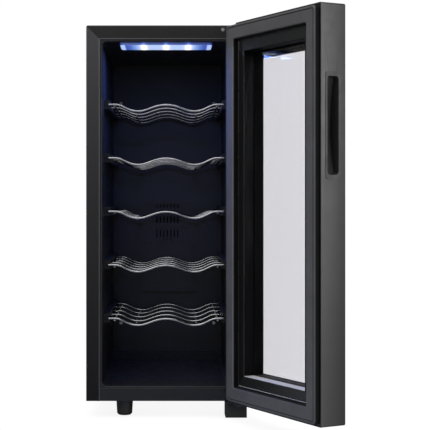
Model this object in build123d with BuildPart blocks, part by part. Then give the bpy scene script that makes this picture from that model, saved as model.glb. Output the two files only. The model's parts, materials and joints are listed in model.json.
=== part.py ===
"""Tall narrow thermoelectric wine cooler with five pull-out wire shelves and a glass door.

Frame: +Z up, the origin on the floor under the middle of the cabinet, the door opening towards -Y.
The door is modelled shut and then turned about its hinge line to the open angle it rests at.
All sizes are in millimetres.
"""
import os
from build123d import *

# ---------------------------------------------------------------- driving dimensions
CABINET_W, CABINET_D, CABINET_H = 258.0, 462.0, 607.0
FOOT_H = 26.5
SHEET = 1.0

SIDE_FLANGE, TOP_FLANGE, BOTTOM_BEZEL = 22.0, 22.5, 21.0
ROOM_W = 206.0  # inside width of the liner
ROOM_BOTTOM, ROOM_TOP = 24.0, 580.5  # above the underside of the cabinet
ROOM_D = 395.0  # front plane to the liner's back wall
LINER_T = 2.0
LINER_CORNER = 8.0
DUCT_FACE_DEPTH = 350.0  # front plane to the duct cover
BULKHEAD_DEPTH = 419.0  # front plane to the front of the rear bulkhead
STEP_H, STEP_D = 14.5, 14.0  # raised step at the back of the liner's floor

SHELF_COUNT = 5
SHELF_PITCH = 88.2
LOWEST_SHELF = 129.4  # crest of the lowest shelf above the underside of the cabinet
SHELF_SETBACK = 42.0  # front plane to a shelf's front wire
WIRE_SPACING = 73.0
FRONT_WIRE_R, WAVE_WIRE_R, RAIL_R, TROUGH_ROD_R = 1.9, 1.5, 1.75, 1.3
SHELF_HALF = 95.0
RAIL_X, VALLEY_X, LOOP_X = 84.9, 51.0, 94.0
LOOP_DROP = 0.5

DOOR_T = 43.0
DOOR_GAP = 9.0  # front plane to the inner face of the door's rim
DOOR_CLEAR = 1.2  # door shorter than the cabinet at top and bottom
DOOR_OPEN = 118.0  # degrees
HINGE_INSET, HINGE_DEPTH = 11.84, 12.6  # hinge line from the door's edge and from its inner face
WINDOW_SIDE, WINDOW_BOTTOM, WINDOW_TOP = 44.0, 48.0, 558.0
FRAME_WALL = 2.5
GASKET_INSET, GASKET_W = 4.0, 23.0
GLASS_T = 4.0
PIN_R, PIN_RUNNING_GAP = 3.0, 0.05

FAN_CENTRE = 198.0  # above the underside of the cabinet

# ---------------------------------------------------------------- places worked out from them
FRONT, REAR = -CABINET_D / 2, CABINET_D / 2
HALF_W = CABINET_W / 2
BASE, TOP = FOOT_H, FOOT_H + CABINET_H
ROOM_HALF = ROOM_W / 2
ROOM_FLOOR, ROOM_CEILING = BASE + ROOM_BOTTOM, BASE + ROOM_TOP
LINER_BACK = FRONT + ROOM_D
DUCT_FACE = FRONT + DUCT_FACE_DEPTH
BULKHEAD = FRONT + BULKHEAD_DEPTH
FAN_Z = BASE + FAN_CENTRE

DOOR_INNER = FRONT - DOOR_GAP
DOOR_OUTER = DOOR_INNER - DOOR_T
DOOR_BASE, DOOR_TOP = BASE + DOOR_CLEAR, TOP - DOOR_CLEAR
HINGE_X, HINGE_Y = HALF_W - HINGE_INSET, DOOR_INNER - HINGE_DEPTH
WINDOW_HALF = HALF_W - WINDOW_SIDE
WINDOW_Z = (BASE + WINDOW_BOTTOM, BASE + WINDOW_TOP)

DOOR_AT_REST = (
    Location((HINGE_X, HINGE_Y, 0))
    * Location((0, 0, 0), (0, 0, DOOR_OPEN))
    * Location((-HINGE_X, -HINGE_Y, 0))
)

os.makedirs("parts", exist_ok=True)


# ---------------------------------------------------------------- helpers
def save(piece, label, place=None):
    """Label a finished piece, put it where it belongs and write its STEP file."""
    part = piece.part if place is None else piece.part.moved(place)
    part.label = label
    export_step(part, f"parts/{label}.step")


def block(x, y, z, mode=Mode.ADD):
    """A box between two limits along each axis."""
    with Locations(((x[0] + x[1]) / 2, (y[0] + y[1]) / 2, (z[0] + z[1]) / 2)):
        Box(x[1] - x[0], y[1] - y[0], z[1] - z[0], mode=mode)


def panel(x, z, mode=Mode.ADD):
    """A rectangle between two limits across and up, on a plane that faces the front."""
    with Locations(((x[0] + x[1]) / 2, (z[0] + z[1]) / 2)):
        Rectangle(x[1] - x[0], z[1] - z[0], mode=mode)


def round_panel(x, z, radius, mode=Mode.ADD):
    """The same rectangle with rounded corners."""
    with Locations(((x[0] + x[1]) / 2, (z[0] + z[1]) / 2)):
        RectangleRounded(x[1] - x[0], z[1] - z[0], radius, mode=mode)


def rod(x, y, z, radius, mode=Mode.ADD):
    """A round bar along Y between two limits."""
    with Locations(Location((x, (y[0] + y[1]) / 2, z), (90, 0, 0))):
        Cylinder(radius, y[1] - y[0], mode=mode)


def post(x, y, z, radius, mode=Mode.ADD):
    """A round bar along Z between two limits."""
    with Locations((x, y, (z[0] + z[1]) / 2)):
        Cylinder(radius, z[1] - z[0], mode=mode)


def facing(y):
    """The plane at this Y, seen from the front: X to the right, Z up. Extruding by -t goes t backwards."""
    return Plane.XZ.offset(-y)


def inset(limits, amount):
    """Two limits, each moved inwards by the amount."""
    return (limits[0] + amount, limits[1] - amount)


FULL_X, FULL_Z = (-HALF_W, HALF_W), (BASE, TOP)
DOOR_Z = (DOOR_BASE, DOOR_TOP)
WINDOW_X = (-WINDOW_HALF, WINDOW_HALF)

# ---------------------------------------------------------------- hinge layout
LOWER_PLATE_T, UPPER_LEAF_T = 3.0, 2.5
PIN_REACH = 12.0
LEAF_HALF = 8.5
NOTCH_FLOOR = DOOR_TOP - 3.8
LEAF_Z = (NOTCH_FLOOR + 0.4, NOTCH_FLOOR + 0.4 + UPPER_LEAF_T)
BRACKET_X, BRACKET_T = (86.0, 126.5), 2.5
BRACKET_BOTTOM = TOP - TOP_FLANGE + 2.0
BRACKET_SCREWS = [(91.9, TOP - 7.0), (116.0, TOP - 14.0)]
SCREW_R, SCREW_HEAD_R = 1.6, 3.0

# ------------------------------------------------ outer shell: folded steel, both sides and the top
SHELL_CORNER, FOLD_R = 3.0, 2.0
ROLL_W, ROLL_PROUD = 1.4, 0.5  # rolled edge round the opening


def folded_rim(body):
    """The front edges of a body that follow the fold of the sheet: both sides and the top."""
    front_edges = body.faces().sort_by(Axis.Y)[0].edges()
    return front_edges.filter_by(lambda e: e.bounding_box().max.Z > BASE + 10)


with BuildPart() as outer_shell:
    with BuildSketch(facing(FRONT)) as shell_face:
        panel(FULL_X, FULL_Z)
        fillet(shell_face.vertices().group_by(Axis.Y)[-1], SHELL_CORNER)
    extrude(amount=-CABINET_D)
    fillet(folded_rim(outer_shell), FOLD_R)
    with BuildPart(mode=Mode.PRIVATE) as shell_room:
        with BuildSketch(facing(FRONT + SHEET)) as room_face:
            panel(inset(FULL_X, SHEET), (BASE, TOP - SHEET))
            fillet(room_face.vertices().group_by(Axis.Y)[-1], SHELL_CORNER - SHEET)
        extrude(amount=-CABINET_D)
        fillet(folded_rim(shell_room), FOLD_R - SHEET)
    add(shell_room.part, mode=Mode.SUBTRACT)
    with BuildSketch(facing(FRONT)):
        panel(inset(FULL_X, SIDE_FLANGE), (BASE, TOP - TOP_FLANGE))
    extrude(amount=-SHEET, mode=Mode.SUBTRACT)
    with BuildSketch(facing(FRONT)):
        panel(inset(FULL_X, SIDE_FLANGE - ROLL_W), (BASE, TOP - TOP_FLANGE + ROLL_W))
        panel(inset(FULL_X, SIDE_FLANGE), (BASE, TOP - TOP_FLANGE), Mode.SUBTRACT)
    extrude(amount=ROLL_PROUD)
    roll_edges = outer_shell.faces().sort_by(Axis.Y)[0].edges()
    fillet(roll_edges.filter_by(lambda e: e.length > 10), 0.45)
    with BuildSketch(facing(FRONT)):
        for side in (-1, 1):
            with BuildLine(mode=Mode.PRIVATE) as mitre:
                Line(
                    (side * (HALF_W - SIDE_FLANGE + ROLL_W), TOP - TOP_FLANGE + ROLL_W),
                    (side * (HALF_W - 2), TOP - 2),
                )
            trace(mitre.line, 0.9)
    extrude(amount=-0.7, mode=Mode.SUBTRACT)
    for side in (-1, 1):
        rear_flange = sorted((side * (HALF_W - SHEET), side * (HALF_W - 11)))
        block(rear_flange, (REAR - 2, REAR - SHEET), (BASE + 2, TOP - 2))
    block(
        (HINGE_X - LEAF_HALF - 0.5, HINGE_X + LEAF_HALF + 0.5),
        (FRONT, FRONT + SHEET),
        (LEAF_Z[0] - 0.3, LEAF_Z[1] + 0.3),
        Mode.SUBTRACT,
    )
    for x, z in BRACKET_SCREWS:
        rod(x, (FRONT, FRONT + SHEET), z, SCREW_HEAD_R, Mode.SUBTRACT)
    PANEL_SCREWS = [(side * (HALF_W - 6), BASE + up) for side in (-1, 1) for up in (20, 210, 400, 590)]
    for x, z in PANEL_SCREWS:
        rod(x, (REAR - 2, REAR - SHEET), z, SCREW_R, Mode.SUBTRACT)
save(outer_shell, "outer_shell")

# ---------------------------------------------------------------- bottom pan with the lower front bezel
VENT_SLOTS, VENT_PITCH = 14, 11.0
FRONT_FOOT = (-67.9, FRONT + 31.0)
REAR_FEET = [(-96.0, REAR - 40.0), (96.0, REAR - 40.0)]
HINGE_PLATE_SCREWS = [(103.0, FRONT + 14.0), (103.0, FRONT + 32.0)]
with BuildPart() as bottom_panel:
    block(inset(FULL_X, SHEET), (FRONT + SHEET, REAR - SHEET), (BASE, BASE + SHEET))
    block(inset(FULL_X, SIDE_FLANGE), (FRONT, FRONT + SHEET), (BASE, BASE + BOTTOM_BEZEL))
    bezel_edges = bottom_panel.edges().filter_by(Axis.X)
    bezel_edges = bezel_edges.filter_by_position(Axis.Y, FRONT - 0.01, FRONT + 0.01)
    fillet(bezel_edges, 0.6)
    with BuildSketch(Plane.XY.offset(BASE)):
        with Locations((0, BULKHEAD + 22)):
            with GridLocations(VENT_PITCH, 0, VENT_SLOTS, 1):
                SlotOverall(28, 4, rotation=90)
        with Locations(*HINGE_PLATE_SCREWS, FRONT_FOOT, *REAR_FEET):
            Circle(SCREW_R)
    extrude(amount=SHEET, mode=Mode.SUBTRACT)
save(bottom_panel, "bottom_panel")

# ------------------------------------------------ inner liner: one moulded tub with shelf channels
SHELF_LEVELS = [BASE + LOWEST_SHELF + SHELF_PITCH * i for i in range(SHELF_COUNT)]
CHANNEL_Y = (FRONT + 50.0, DUCT_FACE - 4.0)
CHANNEL_WALL_X = LOOP_X + WAVE_WIRE_R + 0.5
LIP = 4.0
SINK_BOLTS = [(-29.0, FAN_Z), (29.0, FAN_Z)]
COLD_BLOCK = 40.0
LIGHT_HALF, LIGHT_Y, LIGHT_DROP = 75.0, (FRONT + 14.0, FRONT + 78.0), 4.2
DUCT_SCREWS = [(side * 88.0, BASE + up) for side in (-1, 1) for up in (92.0, 508.0)]
with BuildPart() as inner_liner:
    with BuildSketch(facing(FRONT + 2.6)):
        round_panel(
            (-ROOM_HALF - LINER_T, ROOM_HALF + LINER_T),
            (ROOM_FLOOR - LINER_T, ROOM_CEILING + LINER_T),
            LINER_CORNER + LINER_T,
        )
    extrude(amount=2.6 - ROOM_D - LINER_T)
    with BuildSketch(facing(FRONT + 0.6)):
        panel(inset(FULL_X, SIDE_FLANGE), (BASE + BOTTOM_BEZEL, TOP - TOP_FLANGE))
    extrude(amount=-2.0)
    with BuildSketch(facing(FRONT)):
        round_panel((-ROOM_HALF, ROOM_HALF), (ROOM_FLOOR, ROOM_CEILING), LINER_CORNER)
    extrude(amount=-ROOM_D, mode=Mode.SUBTRACT)
    lip_edges = inner_liner.edges().filter_by_position(Axis.Y, FRONT + 0.55, FRONT + 0.65)
    fillet(lip_edges.filter_by(lambda e: e.bounding_box().max.X < ROOM_HALF + 0.1
                               and e.bounding_box().min.X > -ROOM_HALF - 0.1
                               and e.bounding_box().min.Z > ROOM_FLOOR - 0.1
                               and e.bounding_box().max.Z < ROOM_CEILING + 0.1), 1.4)
    with BuildSketch(facing(DUCT_FACE - STEP_D)):
        round_panel((-ROOM_HALF, ROOM_HALF), (ROOM_FLOOR, ROOM_CEILING), LINER_CORNER)
        panel((-ROOM_HALF, ROOM_HALF), (ROOM_FLOOR + STEP_H, ROOM_CEILING), Mode.SUBTRACT)
    extrude(amount=DUCT_FACE - STEP_D - LINER_BACK)
    for level in SHELF_LEVELS:
        for side in (-1, 1):
            with BuildSketch(facing(CHANNEL_Y[0])):
                panel(sorted((side * CHANNEL_WALL_X, side * ROOM_HALF)), (level - 7.0, level + 7.5))
                ledge_top = level - WAVE_WIRE_R - LOOP_DROP - 0.3
                panel(sorted((side * (LOOP_X - 1.5), side * ROOM_HALF)), (level - 7.0, ledge_top))
                panel(sorted((side * (LOOP_X - 0.5), side * ROOM_HALF)), (level + 3.3, level + 7.5))
            extrude(amount=CHANNEL_Y[0] - CHANNEL_Y[1])
    block(
        (-COLD_BLOCK / 2 - 0.5, COLD_BLOCK / 2 + 0.5),
        (LINER_BACK, LINER_BACK + LINER_T),
        (FAN_Z - COLD_BLOCK / 2 - 0.5, FAN_Z + COLD_BLOCK / 2 + 0.5),
        Mode.SUBTRACT,
    )
    for x, z in SINK_BOLTS:
        rod(x, (LINER_BACK, LINER_BACK + LINER_T), z, 2.2, Mode.SUBTRACT)
    for groove in range(-2, 3):
        block((groove * 9 - 1.5, groove * 9 + 1.5), (FRONT + 30, DUCT_FACE - 30), (ROOM_FLOOR - 0.8, ROOM_FLOOR),
              Mode.SUBTRACT)
    for side in (-1, 1):
        block(sorted((side * 80, side * ROOM_HALF)), (DUCT_FACE + 2.3, LINER_BACK), (BASE + 86, BASE + 98))
        block(sorted((side * 80, side * ROOM_HALF)), (DUCT_FACE + 2.3, LINER_BACK), (BASE + 502, BASE + 514))
    for x, z in DUCT_SCREWS:
        rod(x, (DUCT_FACE + 2.3, DUCT_FACE + 12), z, SCREW_R, Mode.SUBTRACT)
save(inner_liner, "inner_liner")

# ---------------------------------------------------------------- foam between the liner and the shell
with BuildPart() as insulation_foam:
    block(inset(FULL_X, SHEET), (FRONT + SHEET, BULKHEAD), (BASE + SHEET, TOP - SHEET))
    fillet(insulation_foam.edges().filter_by(Axis.Y).group_by(Axis.Z)[-1], SHELL_CORNER - SHEET)
    fillet(folded_rim(insulation_foam), FOLD_R - SHEET)
    with BuildSketch(facing(FRONT)):
        round_panel(
            (-ROOM_HALF - LINER_T, ROOM_HALF + LINER_T),
            (ROOM_FLOOR - LINER_T, ROOM_CEILING + LINER_T),
            LINER_CORNER + LINER_T,
        )
    extrude(amount=-ROOM_D - LINER_T, mode=Mode.SUBTRACT)
    block(inset(FULL_X, SIDE_FLANGE), (FRONT, FRONT + 2.6), (BASE + SHEET, TOP - TOP_FLANGE), Mode.SUBTRACT)
    half = COLD_BLOCK / 2 + 0.5
    block((-half, half), (LINER_BACK, BULKHEAD), (FAN_Z - half, FAN_Z + half), Mode.SUBTRACT)
    for x, z in SINK_BOLTS:
        rod(x, (LINER_BACK, BULKHEAD), z, 2.2, Mode.SUBTRACT)
    bracket_seat = (FRONT, FRONT + SHEET + BRACKET_T + 2)
    block((BRACKET_X[0] - 1, HALF_W), bracket_seat, (BRACKET_BOTTOM - 1, TOP), Mode.SUBTRACT)
    for x, y in [*HINGE_PLATE_SCREWS, FRONT_FOOT, *REAR_FEET]:
        post(x, y, (BASE, BASE + 12), SCREW_R + 1.4, Mode.SUBTRACT)
save(insulation_foam, "insulation_foam")

# ------------------------------------------------ duct cover: air slots, ring grille and its screws
SLOT_PITCH = 6.6
RING_PITCH, RING_SLOT, RING_FIRST, RING_SLOTS = 6.1, 3.6, 6.0, 6
with BuildPart() as duct_cover:
    cover_z = (ROOM_FLOOR + STEP_H + 0.3, ROOM_CEILING - 0.3)
    block(inset((-ROOM_HALF, ROOM_HALF), 0.3), (DUCT_FACE, DUCT_FACE + 2), cover_z)
    corner_edges = duct_cover.edges().filter_by(Axis.Y).group_by(Axis.Z)[-1]
    fillet(corner_edges, LINER_CORNER)
    with BuildSketch(facing(DUCT_FACE - 4)):
        round_panel((-50, 50), (FAN_Z - 46, BASE + 243.4), 6)
    extrude(amount=-6)
    with BuildSketch(facing(DUCT_FACE - 1.5)):
        with Locations((0, FAN_Z)):
            Circle(42.5)
    extrude(amount=-4, mode=Mode.SUBTRACT)
    with BuildSketch(facing(DUCT_FACE - 3)):
        with Locations((0, FAN_Z)):
            for ring in range(RING_SLOTS):
                inner = RING_FIRST + RING_PITCH * ring
                Circle(inner + RING_PITCH)
                Circle(inner + RING_SLOT, mode=Mode.SUBTRACT)
            Circle(RING_FIRST)
            Rectangle(3, 85)
            Rectangle(85, 3)
    extrude(amount=-3)
    with BuildSketch(facing(DUCT_FACE - 4)):
        with Locations((0, BASE + 288.3)):
            with GridLocations(SLOT_PITCH, 0, 7, 1):
                SlotOverall(14, 3, rotation=90)
        with Locations((0, BASE + 313.8)):
            with GridLocations(SLOT_PITCH, 0, 7, 1):
                SlotOverall(8, 2.4, rotation=90)
        with Locations((0, BASE + 261.5)):
            with GridLocations(SLOT_PITCH, 0, 7, 1):
                SlotOverall(16, 2, rotation=90)
        with Locations((0, BASE + 249.9)):
            with GridLocations(SLOT_PITCH + 0.2, 0, 3, 1):
                Circle(1.2)
        with Locations(*DUCT_SCREWS):
            Circle(SCREW_R + 0.2)
    extrude(amount=-8, mode=Mode.SUBTRACT)
    block((-70, 70), (DUCT_FACE, DUCT_FACE + 0.8), (BASE + 272.2, BASE + 273.6), Mode.SUBTRACT)
save(duct_cover, "duct_cover")


def pan_screws(places, head_y, length, head_r=SCREW_HEAD_R, head_t=1.6):
    """Pan-head screws along Y at several (x, z) places: heads in front of head_y, shanks behind it."""
    for x, z in places:
        rod(x, (head_y - head_t, head_y), z, head_r)
        rod(x, (head_y, head_y + length), z, SCREW_R)
        with BuildPart(mode=Mode.PRIVATE) as recess:
            block((x - 1.8, x + 1.8), (head_y - head_t, head_y - head_t + 0.8), (z - 0.35, z + 0.35))
            block((x - 0.35, x + 0.35), (head_y - head_t, head_y - head_t + 0.8), (z - 1.8, z + 1.8))
        add(recess.part, mode=Mode.SUBTRACT)


with BuildPart() as duct_cover_screws:
    pan_screws(DUCT_SCREWS, DUCT_FACE, 10)
save(duct_cover_screws, "duct_cover_screws")


# ---------------------------------------------------------------- fans: both are the same design in two sizes
def fan_housing(side, depth, hub_r):
    """Square fan frame with its rear struts and bearing, its front face at Y = 0 and its axis along Y."""
    with BuildPart() as housing:
        with BuildSketch(facing(0)):
            RectangleRounded(side, side, 4)
            Circle(side / 2 - 2, mode=Mode.SUBTRACT)
            with GridLocations(side - 9, side - 9, 2, 2):
                Circle(2, mode=Mode.SUBTRACT)
        extrude(amount=-depth)
        with BuildSketch(facing(depth - 2)):
            Circle(hub_r)
            with PolarLocations((side / 2 + hub_r) / 2 - 1, 4, start_angle=45):
                Rectangle(side / 2 - hub_r + 2, 3)
            Circle(1.5 + PIN_RUNNING_GAP, mode=Mode.SUBTRACT)
        extrude(amount=-2)
    return housing


def fan_rotor(side, depth, hub_r, blades):
    """Hub, shaft and pitched blades that turn inside a fan_housing of the same size."""
    blade_r = side / 2 - 4
    height = depth - 4
    with BuildPart() as rotor:
        rod(0, (1, 1 + height), 0, hub_r)
        rod(0, (1 + height, depth - 0.5), 0, 1.5)
        with BuildPart(Plane.XZ.offset(-1 - height / 2), mode=Mode.PRIVATE) as blade_ring:
            with PolarLocations((hub_r + blade_r) / 2 - 1, blades):
                Box(blade_r - hub_r + 2, 0.36 * side, 1.4, rotation=(24, 0, 0))
        add(blade_ring.part)
        with BuildSketch(facing(1)) as swept_disc:
            Circle(blade_r)
        extrude(amount=-height, mode=Mode.INTERSECT)
    with BuildPart() as whole:
        add(rotor.part)
        rod(0, (1 + height - 0.5, depth - 0.5), 0, 1.5)
    return whole


COLD_FAN, COLD_FAN_DEPTH, COLD_FAN_Y = 80.0, 15.0, DUCT_FACE + 3.0
HOT_FAN, HOT_FAN_DEPTH = 92.0, 15.0
SINK_BASE_T = 5.0
HOT_SINK_Y = BULKHEAD
HOT_FIN_TIP = HOT_SINK_Y + 24.0
HOT_FAN_Y = HOT_FIN_TIP + 0.5
cold_place = Location((0, COLD_FAN_Y, FAN_Z))
hot_place = Location((0, HOT_FAN_Y, FAN_Z))
save(fan_housing(COLD_FAN, COLD_FAN_DEPTH, 16), "cold_fan_housing", cold_place)
save(fan_rotor(COLD_FAN, COLD_FAN_DEPTH, 16, 7), "cold_fan_rotor", cold_place)
save(fan_housing(HOT_FAN, HOT_FAN_DEPTH, 18), "hot_fan_housing", hot_place)
save(fan_rotor(HOT_FAN, HOT_FAN_DEPTH, 18, 7), "hot_fan_rotor", hot_place)


# ------------------------------------------------ cooling unit: cold sink, block, module, hot sink
def finned_sink(width, height, base_y, fin_tip, fins, bolt_r):
    """Aluminium heat sink: a plate on one side, upright fins on the other."""
    with BuildPart() as sink:
        out = 1 if fin_tip > base_y else -1
        block((-width / 2, width / 2), sorted((base_y, base_y + out * SINK_BASE_T)),
              (FAN_Z - height / 2, FAN_Z + height / 2))
        pitch = (width - 1.4) / (fins - 1)
        for fin in range(fins):
            x = -width / 2 + 0.7 + fin * pitch
            block((x - 0.7, x + 0.7), sorted((base_y, fin_tip)), (FAN_Z - height / 2, FAN_Z + height / 2))
        for x, z in SINK_BOLTS:
            rod(x, sorted((base_y + out * SINK_BASE_T, fin_tip)), z, 5, Mode.SUBTRACT)
            rod(x, sorted((base_y, base_y + out * SINK_BASE_T)), z, bolt_r, Mode.SUBTRACT)
    return sink


save(finned_sink(72, 84, LINER_BACK, COLD_FAN_Y + COLD_FAN_DEPTH + 1, 13, 2.0), "cold_sink")
save(finned_sink(124, 134, HOT_SINK_Y, HOT_FIN_TIP, 21, 2.2), "hot_sink")

MODULE_T = 4.0
half = COLD_BLOCK / 2
with BuildPart() as cold_block:
    block((-half, half), (LINER_BACK, BULKHEAD - MODULE_T), (FAN_Z - half, FAN_Z + half))
save(cold_block, "cold_block")

with BuildPart() as thermoelectric_module:
    for y in ((BULKHEAD - MODULE_T, BULKHEAD - MODULE_T + 0.8), (BULKHEAD - 0.8, BULKHEAD)):
        block((-half, half), y, (FAN_Z - half, FAN_Z + half))
    block((-half + 1.5, half - 1.5), (BULKHEAD - MODULE_T, BULKHEAD), (FAN_Z - half + 1.5, FAN_Z + half - 1.5))
save(thermoelectric_module, "thermoelectric_module")

with BuildPart() as sink_bolts:
    for x, z in SINK_BOLTS:
        rod(x, (LINER_BACK - SINK_BASE_T, HOT_SINK_Y + SINK_BASE_T), z, 2.0)
        rod(x, (HOT_SINK_Y + SINK_BASE_T, HOT_SINK_Y + SINK_BASE_T + 3), z, 3.5)
save(sink_bolts, "sink_bolts")

with BuildPart() as temperature_sensor:
    block((52, 64), (LINER_BACK - 3, LINER_BACK), (BASE + 330, BASE + 352))
    post(58, LINER_BACK - 5, (BASE + 328, BASE + 354), 2.5)
save(temperature_sensor, "temperature_sensor")

# ------------------------------------------------ rear compartment: bulkhead, boards, panel and grille
SINK_GAP = 0.5
with BuildPart() as rear_bulkhead:
    block(inset(FULL_X, SHEET), (BULKHEAD, BULKHEAD + SHEET), (BASE + SHEET, TOP - SHEET))
    bulkhead_top = rear_bulkhead.edges().filter_by(Axis.Y).group_by(Axis.Z)[-1]
    fillet(bulkhead_top, SHELL_CORNER - SHEET)
    sink_hole_z = (FAN_Z - 67 - SINK_GAP, FAN_Z + 67 + SINK_GAP)
    block((-62 - SINK_GAP, 62 + SINK_GAP), (BULKHEAD, BULKHEAD + SHEET), sink_hole_z,
          Mode.SUBTRACT)
save(rear_bulkhead, "rear_bulkhead")

BOARD_X, BOARD_Z, BOARD_Y = (-42.0, 88.0), (BASE + 14.0, BASE + 96.0), BULKHEAD + 10.0
with BuildPart() as board_tray:
    block(BOARD_X, (BULKHEAD + SHEET, BULKHEAD + 3), BOARD_Z)
    block(BOARD_X, (BULKHEAD + SHEET, REAR - 6), (BASE + SHEET, BASE + SHEET + 2))
    block(BOARD_X, (BULKHEAD + SHEET, BULKHEAD + 3), (BASE + SHEET, BOARD_Z[1]))
    for x in inset(BOARD_X, 6):
        for z in inset(BOARD_Z, 6):
            rod(x, (BULKHEAD + 3, BOARD_Y), z, 3)
save(board_tray, "board_tray")

with BuildPart() as power_board:
    block(inset(BOARD_X, 1), (BOARD_Y, BOARD_Y + 1.6), inset(BOARD_Z, 1))
save(power_board, "power_board")

with BuildPart() as power_parts:
    face = BOARD_Y + 1.6
    block((34, 72), (face, face + 20), (BASE + 30, BASE + 64))
    block((-32, -12), (face, face + 16), (BASE + 60, BASE + 86))
    for x in (2, 20):
        rod(x, (face, face + 18), BASE + 74, 6.5)
    for x in range(-32, 20, 10):
        block((x, x + 6), (face, face + 5), (BASE + 28, BASE + 34))
save(power_parts, "power_parts")

GRILLE_HALF_W, GRILLE_Z = 66.0, (FAN_Z - 71.0, FAN_Z + 71.0)
INLET_X, INLET_Z = -84.0, BASE + 52.0
with BuildPart() as rear_panel:
    with BuildSketch(facing(REAR - SHEET)) as rear_face:
        panel(inset(FULL_X, SHEET), (BASE + SHEET, TOP - SHEET))
        fillet(rear_face.vertices().group_by(Axis.Y)[-1], SHELL_CORNER - SHEET)
        panel((-GRILLE_HALF_W + 6, GRILLE_HALF_W - 6), inset(GRILLE_Z, 6), Mode.SUBTRACT)
        with Locations((0, BASE + 520)):
            with GridLocations(0, 9, 1, 7):
                SlotOverall(130, 4, mode=Mode.SUBTRACT)
        with Locations((35, BASE + 55)):
            with GridLocations(0, 9, 1, 5):
                SlotOverall(90, 4, mode=Mode.SUBTRACT)
        with Locations((INLET_X, INLET_Z)):
            Rectangle(28, 20.4, mode=Mode.SUBTRACT)
        with Locations(*PANEL_SCREWS):
            Circle(SCREW_R + 0.2, mode=Mode.SUBTRACT)
    extrude(amount=-SHEET)
save(rear_panel, "rear_panel")

with BuildPart() as rear_grille:
    with BuildSketch(facing(REAR)):
        round_panel((-GRILLE_HALF_W, GRILLE_HALF_W), GRILLE_Z, 6)
        with Locations((0, FAN_Z)):
            with GridLocations(0, 8, 1, 15):
                SlotOverall(112, 4.4, mode=Mode.SUBTRACT)
    extrude(amount=-2.2)
    for x in (-28, 28):
        block((x - 1.5, x + 1.5), (REAR, REAR + 2.2), inset(GRILLE_Z, 4))
save(rear_grille, "rear_grille")

with BuildPart() as rear_panel_screws:
    for x, z in PANEL_SCREWS:
        rod(x, (REAR, REAR + 1.6), z, SCREW_HEAD_R)
        rod(x, (REAR - 6, REAR), z, SCREW_R)
        block((x - 1.8, x + 1.8), (REAR + 0.8, REAR + 1.6), (z - 0.35, z + 0.35), Mode.SUBTRACT)
        block((x - 0.35, x + 0.35), (REAR + 0.8, REAR + 1.6), (z - 1.8, z + 1.8), Mode.SUBTRACT)
save(rear_panel_screws, "rear_panel_screws")

INLET_DEPTH = 18.0
with BuildPart() as power_inlet:
    with BuildSketch(facing(REAR - INLET_DEPTH)):
        with Locations((INLET_X, INLET_Z)):
            RectangleRounded(27.6, 20, 3)
    extrude(amount=-INLET_DEPTH)
    with BuildSketch(facing(REAR)):
        with Locations((INLET_X, INLET_Z)):
            RectangleRounded(40, 25, 4)
    extrude(amount=-2.2)
    with BuildSketch(facing(REAR - INLET_DEPTH + 2)):
        with Locations((INLET_X, INLET_Z)):
            RectangleRounded(24, 16, 2)
    extrude(amount=-INLET_DEPTH - 2, mode=Mode.SUBTRACT)
save(power_inlet, "power_inlet")

with BuildPart() as inlet_pins:
    for across, up in ((-7, -2.6), (7, -2.6), (0, 1.0)):
        block((INLET_X + across - 1, INLET_X + across + 1), (REAR - INLET_DEPTH + 2, REAR - 2),
              (INLET_Z + up - 2, INLET_Z + up + 2))
save(inlet_pins, "inlet_pins")

# ---------------------------------------------------------------- ceiling light
LENS_WALL = 1.5
with BuildPart() as light_lens:
    with BuildSketch(Plane.XY.offset(ROOM_CEILING - LIGHT_DROP)):
        with Locations((0, sum(LIGHT_Y) / 2)):
            RectangleRounded(2 * LIGHT_HALF, LIGHT_Y[1] - LIGHT_Y[0], 6)
    extrude(amount=LIGHT_DROP)
    fillet(light_lens.faces().sort_by(Axis.Z)[0].edges(), 1.4)
    with BuildSketch(Plane.XY.offset(ROOM_CEILING - LIGHT_DROP + LENS_WALL)):
        with Locations((0, sum(LIGHT_Y) / 2)):
            RectangleRounded(2 * (LIGHT_HALF - LENS_WALL), LIGHT_Y[1] - LIGHT_Y[0] - 2 * LENS_WALL, 4.5)
    extrude(amount=LIGHT_DROP, mode=Mode.SUBTRACT)
save(light_lens, "light_lens")

LED_PITCH = 36.5
LED_BOARD_T, LED_T = 1.0, 1.2
LIGHT_MID = sum(LIGHT_Y) / 2
with BuildPart() as light_board:
    block((-68, 68), (LIGHT_MID - 9, LIGHT_MID + 9), (ROOM_CEILING - LED_BOARD_T, ROOM_CEILING))
save(light_board, "light_board")

with BuildPart() as light_leds:
    with Locations((0, LIGHT_MID, ROOM_CEILING - LED_BOARD_T - LED_T / 2)):
        with GridLocations(LED_PITCH, 0, 3, 1):
            Box(5, 5, LED_T)
save(light_leds, "light_leds")


# ---------------------------------------------------------------- feet
def round_foot(height, radius):
    """Tapered moulded foot with a rolled lower edge, standing on Z = 0."""
    with BuildPart() as foot:
        with BuildSketch(Plane.XZ) as foot_half:
            with BuildLine():
                sole, waist = (radius - 4, 0), (radius - 1.4, 2.6)
                Polyline((0, 0), sole, waist, (radius, height), (0, height), close=True)
            make_face()
        revolve(axis=Axis.Z)
        with BuildSketch(Plane.XY):
            Circle(3.4)
        extrude(amount=height - 5, mode=Mode.SUBTRACT)
        with BuildSketch(Plane.XY):
            Circle(SCREW_R)
        extrude(amount=height, mode=Mode.SUBTRACT)
    return foot


FOOT_R = 13.8
front_left_foot = round_foot(FOOT_H, FOOT_R)
for label, (x, y) in zip(("front_left_foot", "rear_left_foot", "rear_right_foot"), (FRONT_FOOT, *REAR_FEET)):
    save(front_left_foot, label, Location((x, y, 0)))

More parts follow.
